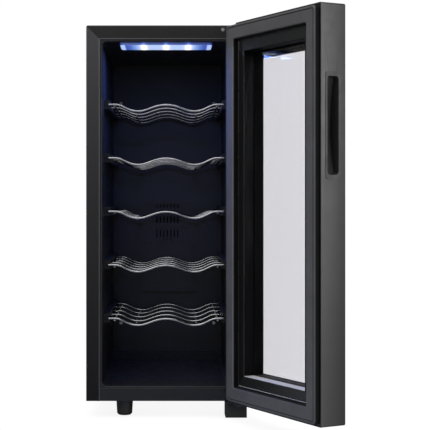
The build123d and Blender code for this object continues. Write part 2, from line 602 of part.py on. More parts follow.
with BuildPart() as foot_screws:
    for x, y in (FRONT_FOOT, *REAR_FEET):
        post(x, y, (FOOT_H - 5, FOOT_H + 9), SCREW_R)
        post(x, y, (FOOT_H - 7.4, FOOT_H - 5), SCREW_HEAD_R)
save(foot_screws, "foot_screws")

# ---------------------------------------------------------------- hinges on the cabinet
HINGE_FOOT_X, HINGE_FOOT_Y = (96.0, 130.5), (FRONT - 5.0, FRONT + 38.0)
PLATE_Z = (BASE - LOWER_PLATE_T, BASE)
with BuildPart() as hinge_foot:
    block(HINGE_FOOT_X, HINGE_FOOT_Y, (0, PLATE_Z[0]))
    chamfer(hinge_foot.edges().filter_by(Axis.X).group_by(Axis.Z)[0].sort_by(Axis.Y)[0], 2.4)
    fillet(hinge_foot.edges().filter_by(Axis.Z), 1.0)
    for x, y in HINGE_PLATE_SCREWS:
        post(x, y, (0, PLATE_Z[0] - 4), 3.6, Mode.SUBTRACT)
        post(x, y, (0, PLATE_Z[0]), SCREW_R, Mode.SUBTRACT)
save(hinge_foot, "hinge_foot")

with BuildPart() as lower_hinge_plate:
    block((97, HINGE_X + LEAF_HALF), (HINGE_Y, FRONT + 38), PLATE_Z)
    post(HINGE_X, HINGE_Y, PLATE_Z, LEAF_HALF)
    block((97, HINGE_X - LEAF_HALF), (HINGE_Y - LEAF_HALF, FRONT - 12), PLATE_Z, Mode.SUBTRACT)
    post(HINGE_X, HINGE_Y, PLATE_Z, PIN_R, Mode.SUBTRACT)
    for x, y in HINGE_PLATE_SCREWS:
        post(x, y, PLATE_Z, SCREW_R, Mode.SUBTRACT)
save(lower_hinge_plate, "lower_hinge_plate")

with BuildPart() as lower_hinge_pin:
    post(HINGE_X, HINGE_Y, (PLATE_Z[0], DOOR_BASE + PIN_REACH), PIN_R)
    post(HINGE_X, HINGE_Y, (PLATE_Z[0] - 1.5, PLATE_Z[0]), PIN_R + 2)
    post(HINGE_X, HINGE_Y, (PLATE_Z[1], PLATE_Z[1] + 0.9), PIN_R + 3)
    chamfer(lower_hinge_pin.edges().group_by(Axis.Z)[-1], 0.8)
save(lower_hinge_pin, "lower_hinge_pin")

with BuildPart() as upper_hinge_bracket:
    bracket_y = (FRONT + SHEET, FRONT + SHEET + BRACKET_T)
    block(BRACKET_X, bracket_y, (BRACKET_BOTTOM, LEAF_Z[1]))
    block((HINGE_X - LEAF_HALF, HINGE_X + LEAF_HALF), (HINGE_Y, bracket_y[1]), LEAF_Z)
    post(HINGE_X, HINGE_Y, LEAF_Z, LEAF_HALF)
    post(HINGE_X, HINGE_Y, LEAF_Z, PIN_R, Mode.SUBTRACT)
    for x, z in BRACKET_SCREWS:
        rod(x, bracket_y, z, SCREW_R, Mode.SUBTRACT)
save(upper_hinge_bracket, "upper_hinge_bracket")

with BuildPart() as upper_hinge_pin:
    post(HINGE_X, HINGE_Y, (NOTCH_FLOOR - PIN_REACH, LEAF_Z[1]), PIN_R)
    chamfer(upper_hinge_pin.edges().group_by(Axis.Z)[0], 0.8)
save(upper_hinge_pin, "upper_hinge_pin")

with BuildPart() as upper_hinge_screws:
    for x, z in BRACKET_SCREWS:
        with BuildSketch(Plane.XZ.offset(-FRONT)):
            with Locations((x, z)):
                Circle(SCREW_HEAD_R)
        extrude(amount=-SHEET)
        rod(x, (FRONT + SHEET, FRONT + SHEET + BRACKET_T + 1.5), z, SCREW_R)
        block((x - 1.8, x + 1.8), (FRONT, FRONT + 0.6), (z - 0.35, z + 0.35), Mode.SUBTRACT)
        block((x - 0.35, x + 0.35), (FRONT, FRONT + 0.6), (z - 1.8, z + 1.8), Mode.SUBTRACT)
save(upper_hinge_screws, "upper_hinge_screws")

with BuildPart() as lower_hinge_screws:
    for x, y in HINGE_PLATE_SCREWS:
        post(x, y, (PLATE_Z[0] - 4, BASE + 9), SCREW_R)
        post(x, y, (PLATE_Z[0] - 6, PLATE_Z[0] - 4), SCREW_HEAD_R)
save(lower_hinge_screws, "lower_hinge_screws")

# ---------------------------------------------------------------- wire shelves
WAVE = [
    (-SHELF_HALF, 0),
    (-79, 0),
    (-VALLEY_X + 2, -14.4),
    (0, 2.8),
    (VALLEY_X - 2, -14.4),
    (79, 0),
    (SHELF_HALF, 0),
]
WAVE_RADII = [30, 40, 60, 40, 30]
VALLEY_DEPTH = 11.4
SHELF_FRONT = FRONT + SHELF_SETBACK
WAVE_ROWS = 5
SHELF_LENGTH = WIRE_SPACING * (WAVE_ROWS - 1)


def wire(path, radius):
    """Round wire along a path, added to the part being built."""
    with BuildSketch(Plane(origin=path @ 0, z_dir=path % 0), mode=Mode.PRIVATE) as section:
        Circle(radius)
    sweep(sections=section.sketch, path=path)


with BuildPart() as shelf:
    for row in range(WAVE_ROWS):
        with BuildLine(facing(SHELF_FRONT + WIRE_SPACING * row), mode=Mode.PRIVATE) as wave:
            FilletPolyline(*WAVE, radius=WAVE_RADII)
        wire(wave.wire(), FRONT_WIRE_R if row == 0 else WAVE_WIRE_R)
    WELD = 0.5
    rail_drop = WAVE_WIRE_R + RAIL_R - WELD
    TROUGH_ROD_Z = -VALLEY_DEPTH - WAVE_WIRE_R - TROUGH_ROD_R + WELD
    run = (SHELF_FRONT - 1, SHELF_FRONT + SHELF_LENGTH + 1)
    for side in (-1, 1):
        rod(side * RAIL_X, run, -rail_drop, RAIL_R)
        rod(side * VALLEY_X, (run[0] + WIRE_SPACING, run[1]), TROUGH_ROD_Z, TROUGH_ROD_R)
        with BuildLine(Plane.XY.offset(-LOOP_DROP), mode=Mode.PRIVATE) as loop:
            FilletPolyline(
                (side * (RAIL_X - 1), SHELF_FRONT + 18),
                (side * LOOP_X, SHELF_FRONT + 32),
                (side * LOOP_X, SHELF_FRONT + 140),
                (side * (RAIL_X - 1), SHELF_FRONT + 140),
                radius=7,
            )
        wire(loop.wire(), WAVE_WIRE_R)
for number, level in enumerate(SHELF_LEVELS, start=1):
    save(shelf, f"shelf_{number}", Location((0, 0, level)))

# ---------------------------------------------------------------- door: outer frame
HANDLE_Z = (BASE + 353.5, BASE + 507.9)
HANDLE_Y = (DOOR_INNER - 32.7, DOOR_INNER - 7.8)
CUP_Z, CUP_Y = inset(HANDLE_Z, 6.7), inset(HANDLE_Y, 2.7)
CUP_DEPTH, CUP_WALL, CUP_CORNER, PLATE_PROUD = 21.0, 1.5, 5.0, 0.8
PANE_SEAT = DOOR_INNER - DOOR_T + 1.0 + GLASS_T
NOTCH_X = (HINGE_X - LEAF_HALF - 1.5, HALF_W)
NOTCH_Y = (HINGE_Y - 16.0, DOOR_INNER)
BUSH_HALF, BUSH_H = 8.4, 14.0
DISPLAY_Z = (BASE + 570.0, BASE + 586.0)


def hinge_notch():
    """Corner pocket at the top of the door that the upper hinge leaf turns in."""
    block(NOTCH_X, NOTCH_Y, (NOTCH_FLOOR, DOOR_TOP), Mode.SUBTRACT)


def side_opening(x, y, z, corner):
    """Rounded opening through the free edge of the door, along X."""
    with BuildPart(mode=Mode.PRIVATE) as opening:
        with BuildSketch(Plane.YZ.offset(x[0])):
            with Locations((sum(y) / 2, sum(z) / 2)):
                RectangleRounded(y[1] - y[0], z[1] - z[0], corner)
        extrude(amount=x[1] - x[0])
    add(opening.part, mode=Mode.SUBTRACT)


with BuildPart() as door_frame:
    with BuildSketch(facing(DOOR_OUTER)):
        round_panel(FULL_X, DOOR_Z, 2.5)
    extrude(amount=-DOOR_T)
    fillet(door_frame.faces().sort_by(Axis.Y)[0].edges(), 1.8)
    with BuildSketch(facing(DOOR_OUTER)):
        panel(inset(FULL_X, FRAME_WALL), inset(DOOR_Z, FRAME_WALL))
    extrude(amount=DOOR_OUTER - PANE_SEAT, mode=Mode.SUBTRACT)
    with BuildSketch(facing(PANE_SEAT + FRAME_WALL)):
        panel(inset(FULL_X, FRAME_WALL), inset(DOOR_Z, FRAME_WALL))
    extrude(amount=-DOOR_T, mode=Mode.SUBTRACT)
    with BuildSketch(facing(PANE_SEAT)):
        panel(WINDOW_X, WINDOW_Z)
        panel((-30, 30), DISPLAY_Z)
    extrude(amount=-FRAME_WALL, mode=Mode.SUBTRACT)
    hinge_notch()
    cup_hole = (inset(CUP_Y, -CUP_WALL), inset(CUP_Z, -CUP_WALL), CUP_CORNER + CUP_WALL)
    side_opening((-HALF_W, -HALF_W + FRAME_WALL), *cup_hole)
    post(HINGE_X, HINGE_Y, (DOOR_BASE, DOOR_BASE + FRAME_WALL), PIN_R + 3.4, Mode.SUBTRACT)
save(door_frame, "door_frame", DOOR_AT_REST)

# ---------------------------------------------------------------- door: inner frame that carries the gasket
COVER_FACE = DOOR_INNER - 1.5
COVER_BACK = COVER_FACE - FRAME_WALL
PAIR_X, PAIR_Z = inset(FULL_X, FRAME_WALL), inset(DOOR_Z, FRAME_WALL)
with BuildPart() as door_inner_frame:
    with BuildSketch(facing(COVER_BACK)):
        panel(PAIR_X, PAIR_Z)
        panel(WINDOW_X, WINDOW_Z, Mode.SUBTRACT)
    extrude(amount=-FRAME_WALL)
    with BuildSketch(facing(PANE_SEAT + FRAME_WALL)):
        panel(inset(WINDOW_X, -FRAME_WALL), inset(WINDOW_Z, -FRAME_WALL))
        panel(WINDOW_X, WINDOW_Z, Mode.SUBTRACT)
    extrude(amount=PANE_SEAT + FRAME_WALL - COVER_FACE)
    with BuildSketch(facing(COVER_FACE)):
        panel(inset(FULL_X, 28.4), inset(DOOR_Z, 28.4))
        panel(inset(FULL_X, 30.2), inset(DOOR_Z, 30.2), Mode.SUBTRACT)
    extrude(amount=-1.2)
    window_rim = door_inner_frame.edges().filter_by_position(Axis.Y, COVER_FACE - 0.01, COVER_FACE + 0.01)
    chamfer(window_rim.filter_by(lambda e: e.bounding_box().max.X < WINDOW_HALF + 0.1
                                 and e.bounding_box().min.X > -WINDOW_HALF - 0.1
                                 and e.bounding_box().min.Z > WINDOW_Z[0] - 0.1
                                 and e.bounding_box().max.Z < WINDOW_Z[1] + 0.1), 1.0)
    block(NOTCH_X, NOTCH_Y, (NOTCH_FLOOR - 0.2, DOOR_TOP), Mode.SUBTRACT)
save(door_inner_frame, "door_inner_frame", DOOR_AT_REST)

with BuildPart() as door_foam:
    with BuildSketch(facing(PANE_SEAT + FRAME_WALL)):
        panel(PAIR_X, PAIR_Z)
        panel(inset(WINDOW_X, -FRAME_WALL), inset(WINDOW_Z, -FRAME_WALL), Mode.SUBTRACT)
    extrude(amount=PANE_SEAT + FRAME_WALL - COVER_BACK)
    side_opening((-HALF_W, -HALF_W + CUP_DEPTH + CUP_WALL), inset(CUP_Y, -CUP_WALL), inset(CUP_Z, -CUP_WALL),
                 CUP_CORNER + CUP_WALL)
    block((-36, 36), (PANE_SEAT, PANE_SEAT + FRAME_WALL + 6), inset(DISPLAY_Z, -6), Mode.SUBTRACT)
    bush_x, bush_y = (HINGE_X - BUSH_HALF, HALF_W), (HINGE_Y - BUSH_HALF, HINGE_Y + BUSH_HALF)
    block(bush_x, bush_y, (DOOR_BASE, DOOR_BASE + FRAME_WALL + BUSH_H), Mode.SUBTRACT)
    block(bush_x, bush_y, (NOTCH_FLOOR - BUSH_H, DOOR_TOP), Mode.SUBTRACT)
    hinge_notch()
save(door_foam, "door_foam", DOOR_AT_REST)

# ---------------------------------------------------------------- door: magnetic gasket
GASKET_FACE = FRONT - 0.9
MAGNET_INSET, MAGNET_W = 8.5, 7.0
with BuildPart() as door_gasket:
    gasket_x, gasket_z = inset(FULL_X, GASKET_INSET), inset(DOOR_Z, GASKET_INSET)
    with BuildSketch(facing(COVER_FACE)):
        round_panel(gasket_x, gasket_z, 6)
        round_panel(inset(gasket_x, GASKET_W), inset(gasket_z, GASKET_W), 3, Mode.SUBTRACT)
    extrude(amount=COVER_FACE - GASKET_FACE)
    fillet(door_gasket.faces().sort_by(Axis.Y)[-1].edges(), 2.4)
    with BuildSketch(facing(GASKET_FACE)):
        round_panel(inset(gasket_x, 3.4), inset(gasket_z, 3.4), 4)
        round_panel(inset(gasket_x, 4.8), inset(gasket_z, 4.8), 3, Mode.SUBTRACT)
    extrude(amount=1.6, mode=Mode.SUBTRACT)
    with BuildSketch(facing(COVER_FACE)):
        panel(inset(gasket_x, MAGNET_INSET), inset(gasket_z, MAGNET_INSET))
        magnet_inner = MAGNET_INSET + MAGNET_W
        panel(inset(gasket_x, magnet_inner), inset(gasket_z, magnet_inner), Mode.SUBTRACT)
    extrude(amount=-4.4, mode=Mode.SUBTRACT)
save(door_gasket, "door_gasket", DOOR_AT_REST)

with BuildPart() as gasket_magnets:
    strip_x, strip_z = inset(gasket_x, MAGNET_INSET), inset(gasket_z, MAGNET_INSET)
    strip_y = (COVER_FACE + 1.9, COVER_FACE + 4.4)
    for x in (strip_x[0], strip_x[1] - MAGNET_W):
        block((x, x + MAGNET_W), strip_y, inset(strip_z, 9))
    for z in (strip_z[0], strip_z[1] - MAGNET_W):
        block(inset(strip_x, 9), strip_y, (z, z + MAGNET_W))
save(gasket_magnets, "gasket_magnets", DOOR_AT_REST)

# ---------------------------------------------------------------- door: double glazing
INNER_PANE_T = 3.0
INNER_PANE = DOOR_INNER - 19.5
with BuildPart() as outer_glass:
    block(inset(FULL_X, FRAME_WALL + 0.3), (PANE_SEAT - GLASS_T, PANE_SEAT), inset(DOOR_Z, FRAME_WALL + 0.3))
    fillet(outer_glass.edges().filter_by(Axis.Y), 1.5)
save(outer_glass, "outer_glass", DOOR_AT_REST)

with BuildPart() as inner_glass:
    block(inset(WINDOW_X, 0.2), (INNER_PANE - INNER_PANE_T, INNER_PANE), inset(WINDOW_Z, 0.2))
save(inner_glass, "inner_glass", DOOR_AT_REST)

with BuildPart() as glass_spacer:
    with BuildSketch(facing(PANE_SEAT)):
        panel(inset(WINDOW_X, 0.2), inset(WINDOW_Z, 0.2))
        panel(inset(WINDOW_X, 2.4), inset(WINDOW_Z, 2.4), Mode.SUBTRACT)
    extrude(amount=PANE_SEAT - INNER_PANE + INNER_PANE_T)
save(glass_spacer, "glass_spacer", DOOR_AT_REST)

# ---------------------------------------------------------------- door: pull, controls and hinge bushes
edge = -HALF_W
scoop_rise = 11.0
with BuildPart() as handle_cup:
    with BuildSketch(Plane.YZ.offset(edge - PLATE_PROUD)):
        with Locations((sum(HANDLE_Y) / 2, sum(HANDLE_Z) / 2)):
            RectangleRounded(HANDLE_Y[1] - HANDLE_Y[0], HANDLE_Z[1] - HANDLE_Z[0], 4)
    extrude(amount=PLATE_PROUD)
    with BuildSketch(Plane.YZ.offset(edge)):
        with Locations((sum(CUP_Y) / 2, sum(CUP_Z) / 2)):
            RectangleRounded(
                CUP_Y[1] - CUP_Y[0] + 2 * CUP_WALL,
                CUP_Z[1] - CUP_Z[0] + 2 * CUP_WALL,
                CUP_CORNER + CUP_WALL,
            )
    extrude(amount=CUP_DEPTH + CUP_WALL)
    with BuildPart(mode=Mode.PRIVATE) as scoop:
        with BuildSketch(Plane.YZ.offset(edge - PLATE_PROUD)):
            with Locations((sum(CUP_Y) / 2, sum(CUP_Z) / 2)):
                RectangleRounded(CUP_Y[1] - CUP_Y[0], CUP_Z[1] - CUP_Z[0], CUP_CORNER)
        extrude(amount=CUP_DEPTH + PLATE_PROUD)
        with BuildSketch(facing(CUP_Y[0])):
            with BuildLine():
                low = (edge + CUP_DEPTH - scoop_rise, CUP_Z[0])
                high = (edge + CUP_DEPTH - scoop_rise, CUP_Z[1])
                ThreePointArc(low, (edge + CUP_DEPTH, sum(CUP_Z) / 2), high)
                Polyline(high, (edge - PLATE_PROUD, CUP_Z[1]), (edge - PLATE_PROUD, CUP_Z[0]), low)
            make_face()
        extrude(amount=CUP_Y[0] - CUP_Y[1], mode=Mode.INTERSECT)
    add(scoop.part, mode=Mode.SUBTRACT)
save(handle_cup, "handle_cup", DOOR_AT_REST)

with BuildPart() as control_board:
    block((-34, 34), (PANE_SEAT + FRAME_WALL, PANE_SEAT + FRAME_WALL + 1.6), inset(DISPLAY_Z, -4))
    for x in (-20, 4, 18):
        chip_y = (PANE_SEAT + FRAME_WALL + 1.6, PANE_SEAT + FRAME_WALL + 3)
        block((x, x + 8), chip_y, (DISPLAY_Z[0] + 2, DISPLAY_Z[0] + 9))
save(control_board, "control_board", DOOR_AT_REST)

with BuildPart() as display_module:
    block((-16, 16), (PANE_SEAT, PANE_SEAT + FRAME_WALL), inset(DISPLAY_Z, 1))
    for x in (-24, 24):
        rod(x, (PANE_SEAT, PANE_SEAT + FRAME_WALL), sum(DISPLAY_Z) / 2, 4)
save(display_module, "display_module", DOOR_AT_REST)


def hinge_bush(z, mouth_down):
    """Moulded corner bearing block for a hinge pin, inside the door's rim."""
    with BuildPart() as bush:
        block((HINGE_X - BUSH_HALF, HALF_W - FRAME_WALL), (HINGE_Y - BUSH_HALF, HINGE_Y + BUSH_HALF), z)
        if mouth_down:
            post(HINGE_X, HINGE_Y, (DOOR_BASE, z[0]), PIN_R + 3.4)
        reach = (NOTCH_FLOOR - PIN_REACH - 1, NOTCH_FLOOR)
        if mouth_down:
            reach = (DOOR_BASE, DOOR_BASE + PIN_REACH + 1)
        post(HINGE_X, HINGE_Y, reach, PIN_R + PIN_RUNNING_GAP, Mode.SUBTRACT)
    return bush


lower_bush = hinge_bush((DOOR_BASE + FRAME_WALL, DOOR_BASE + FRAME_WALL + BUSH_H), True)
save(lower_bush, "lower_door_bush", DOOR_AT_REST)
save(hinge_bush((NOTCH_FLOOR - BUSH_H, NOTCH_FLOOR), False), "upper_door_bush", DOOR_AT_REST)
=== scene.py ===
import json
import math
import bmesh
import bpy
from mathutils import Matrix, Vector


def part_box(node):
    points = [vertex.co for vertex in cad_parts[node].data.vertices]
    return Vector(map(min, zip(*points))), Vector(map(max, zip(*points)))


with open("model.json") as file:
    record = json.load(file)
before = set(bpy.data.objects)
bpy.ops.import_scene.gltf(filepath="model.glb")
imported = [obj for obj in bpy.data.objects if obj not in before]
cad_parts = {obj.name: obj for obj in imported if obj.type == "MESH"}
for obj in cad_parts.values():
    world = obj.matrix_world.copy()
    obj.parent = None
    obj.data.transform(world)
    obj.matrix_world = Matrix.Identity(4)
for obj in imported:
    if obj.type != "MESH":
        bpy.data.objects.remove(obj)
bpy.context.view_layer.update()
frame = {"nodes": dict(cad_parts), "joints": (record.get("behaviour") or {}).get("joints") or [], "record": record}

NODES = frame["nodes"]
scene = bpy.context.scene


# ---------------------------------------------------------------- node helpers
MIX_FACTOR, MIX_A, MIX_B = 0, 6, 7  # inputs of a colour mix node
MIX_COLOR = 2  # its colour output


class NodeGraph:
    """Short calls that build shader nodes in one tree."""

    def __init__(self, tree):
        self.tree = tree
        self.coords = self.add("ShaderNodeTexCoord").outputs["Object"]

    def add(self, kind, **settings):
        node = self.tree.nodes.new(kind)
        for key, value in settings.items():
            setattr(node, key, value)
        return node

    def link(self, out, into):
        self.tree.links.new(out, into)

    def scaled(self, sx, sy, sz):
        """Object coordinates scaled along each axis."""
        node = self.add("ShaderNodeMapping")
        node.inputs["Scale"].default_value = (sx, sy, sz)
        self.link(self.coords, node.inputs["Vector"])
        return node.outputs[0]

    def noise(self, scale, detail=3.0, rough=0.5, vector=None):
        node = self.add("ShaderNodeTexNoise")
        node.inputs["Scale"].default_value = scale
        node.inputs["Detail"].default_value = detail
        node.inputs["Roughness"].default_value = rough
        self.link(vector or self.coords, node.inputs["Vector"])
        return node.outputs["Fac"]

    def cells(self, scale, vector=None, feature="F1"):
        """Distance field of a Voronoi pattern."""
        node = self.add("ShaderNodeTexVoronoi", feature=feature)
        node.inputs["Scale"].default_value = scale
        self.link(vector or self.coords, node.inputs["Vector"])
        return node.outputs["Distance"]

    def ramp(self, factor, *stops):
        """Colour ramp through (position, colour) stops."""
        node = self.add("ShaderNodeValToRGB")
        ramp = node.color_ramp
        while len(ramp.elements) < len(stops):
            ramp.elements.new(0.5)
        for element, (place, color) in zip(ramp.elements, stops):
            element.position = place
            element.color = (*color, 1.0)
        self.link(factor, node.inputs["Fac"])
        return node.outputs["Color"]

    def span(self, value, a, b, to_a=0.0, to_b=1.0, smooth=False):
        """The value's place between a and b, clamped and mapped to to_a … to_b."""
        node = self.add("ShaderNodeMapRange")
        if smooth:
            node.interpolation_type = "SMOOTHSTEP"
        for key, number in zip(("From Min", "From Max", "To Min", "To Max"), (a, b, to_a, to_b)):
            node.inputs[key].default_value = number
        self.link(value, node.inputs["Value"])
        return node.outputs[0]

    def math(self, operation, a, b=None):
        node = self.add("ShaderNodeMath", operation=operation)
        for index, value in enumerate((a, b)):
            if value is None:
                continue
            if isinstance(value, bpy.types.NodeSocket):
                self.link(value, node.inputs[index])
            else:
                node.inputs[index].default_value = value
        return node.outputs[0]

    def axis(self, vector, name):
        node = self.add("ShaderNodeSeparateXYZ")
        self.link(vector, node.inputs[0])
        return node.outputs[name]

    def mix(self, factor, a, b):
        """Blend of two colours: all a at 0, all b at 1."""
        node = self.add("ShaderNodeMix", data_type="RGBA")
        self.link(factor, node.inputs[MIX_FACTOR])
        for index, color in ((MIX_A, a), (MIX_B, b)):
            if isinstance(color, bpy.types.NodeSocket):
                self.link(color, node.inputs[index])
            else:
                node.inputs[index].default_value = (*color, 1.0)
        return node.outputs[MIX_COLOR]


class Material(NodeGraph):
    """A node graph round one principled shader."""

    def __init__(self, name):
        self.mat = bpy.data.materials.new(name)
        self.mat.use_nodes = True
        super().__init__(self.mat.node_tree)
        self.shader = self.tree.nodes["Principled BSDF"]

    SOCKETS = {
        "color": "Base Color",
        "rough": "Roughness",
        "metal": "Metallic",
        "spec": "Specular IOR Level",
        "ior": "IOR",
        "coat": "Coat Weight",
        "transmission": "Transmission Weight",
        "sheen": "Sheen Weight",
        "emit": "Emission Color",
        "emit_strength": "Emission Strength",
    }

    def set(self, **values):
        for key, value in values.items():
            socket = self.shader.inputs[self.SOCKETS[key]]
            if isinstance(value, bpy.types.NodeSocket):
                self.link(value, socket)
            else:
                socket.default_value = value
        return self

    def bump(self, height, distance, strength=1.0):
        node = self.add("ShaderNodeBump")
        node.inputs["Distance"].default_value = distance
        node.inputs["Strength"].default_value = strength
        self.link(height, node.inputs["Height"])
        self.link(node.outputs[0], self.shader.inputs["Normal"])
        return self


def grey(level, tint):
    return tuple(level * t for t in tint)


# ---------------------------------------------------------------- materials
DOOR_T = 0.043  # thickness of the door's rim
COVER_SETBACK = 0.0015  # inner frame behind the rim's inner face
GASKET_PROUD = 0.0081  # gasket in front of the rim's inner face
TOP_PRINT = 0.0093  # printed border below the top of the glass spacer
SIDE_FLANGE, TOP_FLANGE = 0.022, 0.0225  # front flanges of the shell
LED_PITCH = 0.0365
GLASS_TINT, GLASS_IOR = (0.935, 0.93, 0.95), 1.46
PRINT_BLACK = (0.004, 0.004, 0.005)


def powder_coat(name, level, tint, rough):
    """Satin powder-coated sheet: fine orange peel and faint handling marks."""
    m = Material(name)
    cloud = m.noise(9.0, 4.0)
    m.set(color=m.ramp(cloud, (0.3, grey(level * 0.88, tint)), (0.7, grey(level * 1.1, tint))))
    m.set(rough=m.span(m.noise(38.0, 5.0), 0.3, 0.7, rough - 0.05, rough + 0.07))
    peel = m.math("ADD", m.noise(1500.0, 2.0), m.math("MULTIPLY", m.noise(420.0, 1.0), 0.6))
    return m.bump(peel, 0.00012, 0.35).mat


def shell_paint(low, high, side_flange, top_flange):
    """Powder coat of the shell, with painted light: side flanges painted lighter than the top one and darker lower
    down, the rest of the shell painted lighter than the front flanges, and a painted highlight along the rolled
    lip of the opening.
    """
    m = Material("shell_powder_coat")
    front_skin = 0.003  # depth of the front flanges' metal
    step = 0.0002  # width of the mitre line between two tones
    across = m.math("ABSOLUTE", m.axis(m.coords, "X"))
    up = m.axis(m.coords, "Z")
    past_side = m.math("SUBTRACT", across, high.x - side_flange)
    past_top = m.math("SUBTRACT", up, high.z - top_flange)
    front = m.span(m.axis(m.coords, "Y"), low.y + front_skin + 0.0005, low.y + front_skin - 0.0005)
    side = m.math("MULTIPLY", m.span(m.math("SUBTRACT", past_side, past_top), -step, step), front)
    tall = m.span(up, low.z, high.z)

    # painted light: the side flanges lighter towards the top, darker towards the bottom
    painted_side_light = m.math("MULTIPLY", m.math("POWER", tall, 1.6), 0.030)
    level = m.math("MULTIPLY", side, m.math("ADD", painted_side_light, -0.002))
    # painted light: the shell off the front flanges painted lighter than the front flanges
    level = m.math("ADD", level, m.span(front, 0.0, 1.0, 0.022, 0.0085))
    # painted highlight: a light line along the rolled lip of the opening
    painted_lip_highlight = m.span(m.math("MAXIMUM", past_side, past_top), 0.0017, 0.0012)
    level = m.math("ADD", level, m.math("MULTIPLY", m.math("MULTIPLY", painted_lip_highlight, front), 0.07))

    grain = m.noise(700.0, 3.0, vector=m.scaled(1, 1, 0.05))
    tone = m.ramp(grain, (0.3, (0.9, 0.9, 0.95)), (0.7, (1.0, 1.0, 1.14)))
    paint = m.add("ShaderNodeMix", data_type="RGBA", blend_type="MULTIPLY")
    paint.inputs[MIX_FACTOR].default_value = 1.0
    m.link(level, paint.inputs[MIX_A])
    m.link(tone, paint.inputs[MIX_B])
    side_shine = m.math("ADD", m.span(tall, 0.0, 1.0, 0.2, 0.75), -0.45)
    m.set(color=paint.outputs[MIX_COLOR])
    m.set(spec=m.math("ADD", m.math("MULTIPLY", side, side_shine), m.span(front, 0.0, 1.0, 0.3, 0.45)))
    m.set(rough=m.span(m.noise(38.0, 5.0), 0.3, 0.7, 0.335, 0.365))
    peel = m.math("ADD", m.noise(1500.0, 2.0), m.math("MULTIPLY", grain, 0.8))
    return m.bump(peel, 0.00010, 0.3).mat


def moulded(name, level, tint=(1, 1, 1), rough=0.5, grain=2600.0, depth=0.00006, spec=0.5):
    """Moulded plastic with a fine spark-eroded grain."""
    m = Material(name)
    cloud = m.noise(14.0, 3.0)
    m.set(color=m.ramp(cloud, (0.3, grey(level * 0.9, tint)), (0.7, grey(level * 1.08, tint))))
    m.set(rough=m.span(m.noise(60.0, 4.0), 0.3, 0.7, rough - 0.06, rough + 0.08), spec=spec)
    return m.bump(m.cells(grain), depth, 0.5).mat


def chrome_wire():
    """Bright plated wire with slight clouding."""
    m = Material("plated_wire")
    fog = m.noise(120.0, 4.0)
    m.set(color=m.ramp(fog, (0.3, grey(0.36, (1, 1, 1.02))), (0.75, grey(0.50, (1, 1, 1.01)))))
    m.set(metal=1.0)
    m.set(rough=m.span(m.noise(300.0, 3.0), 0.3, 0.7, 0.12, 0.22))
    return m.bump(m.noise(500.0, 1.0), 0.00001, 0.1).mat


def metal(name, level, tint, rough, stretch=(1, 1, 1), brushed=3000.0):
    """Bare metal with a brushed or machined grain along one axis."""
    m = Material(name)
    lines = m.noise(brushed, 2.0, vector=m.scaled(*stretch))
    m.set(color=m.ramp(lines, (0.3, grey(level * 0.86, tint)), (0.7, grey(level * 1.06, tint))))
    m.set(metal=1.0)
    m.set(rough=m.span(lines, 0.3, 0.7, rough - 0.06, rough + 0.08))
    return m.bump(lines, 0.00003, 0.3).mat


def glazing():
    """Clear toughened glass, very slightly grey, with the odd faint smear."""
    m = Material("clear_glass")
    smear = m.noise(26.0, 5.0, vector=m.scaled(1, 1, 0.35))
    m.set(color=(*GLASS_TINT, 1.0), transmission=1.0, ior=GLASS_IOR)
    m.set(rough=m.span(smear, 0.45, 0.8, 0.0, 0.03))
    return m.mat


def door_space(m, door):
    """Coordinates that turn with the door: X across from the hinge line, Y out of its inner face, Z up."""
    mapping = m.add("ShaderNodeMapping", vector_type="TEXTURE")
    mapping.inputs["Location"].default_value = (door["hinge"][0], door["hinge"][1], 0.0)
    mapping.inputs["Rotation"].default_value = (0, 0, door["angle"])
    m.link(m.coords, mapping.inputs["Vector"])
    return mapping.outputs[0]


def past_window(m, door):
    """How far a point of the door lies outside its window, sideways and up or down."""
    turned = door_space(m, door)
    across = m.math("ABSOLUTE", m.math("ADD", m.axis(turned, "X"), door["hinge"][0]))
    upright = m.math("ABSOLUTE", m.math("SUBTRACT", m.axis(turned, "Z"), door["mid_z"]))
    return m.math("SUBTRACT", across, door["half_x"]), m.math("SUBTRACT", upright, door["half_z"])


def door_liner(door):
    """Inner frame of the door: glossy ridges and face, dull beside the window and down the reveal, with painted
    shade darkening those parts and a painted reflection making up-facing sills pale.
    """
    m = Material("door_liner_plastic")
    face = door["inner"] - COVER_SETBACK
    depth = m.axis(door_space(m, door), "Y")
    front = m.span(depth, face - 0.0016, face - 0.0011)
    flat = m.span(m.math("ABSOLUTE", m.math("SUBTRACT", depth, face)), 0.0002, 0.0005, 0.85, 0.0)
    past_x, past_z = past_window(m, door)
    beside = m.span(m.math("SUBTRACT", past_z, past_x), -0.0005, 0.0005, 1.0, 0.0)
    front = m.math("MULTIPLY", front, m.math("SUBTRACT", 1.0, m.math("MULTIPLY", flat, beside)))
    facing_up = m.axis(m.add("ShaderNodeNewGeometry").outputs["Normal"], "Z")
    # painted reflection: up-facing surfaces painted pale
    painted_sill_reflection = m.span(facing_up, 0.6, 0.9)
    cloud = m.noise(14.0, 3.0)
    # painted shade: the reveal and the strips beside the window darker than the face
    plastic = m.mix(front, (0.0035, 0.0036, 0.0042), (0.010, 0.0105, 0.0105))
    m.set(color=m.mix(painted_sill_reflection, plastic, (0.62, 0.60, 0.55)))
    m.set(spec=m.span(front, 0.0, 1.0, 0.12, 0.6))
    m.set(rough=m.math("ADD", m.span(cloud, 0.3, 0.7, 0.0, 0.06), m.span(front, 0.0, 1.0, 0.42, 0.24)))
    return m.bump(m.cells(2200.0), 0.00003, 0.4).mat


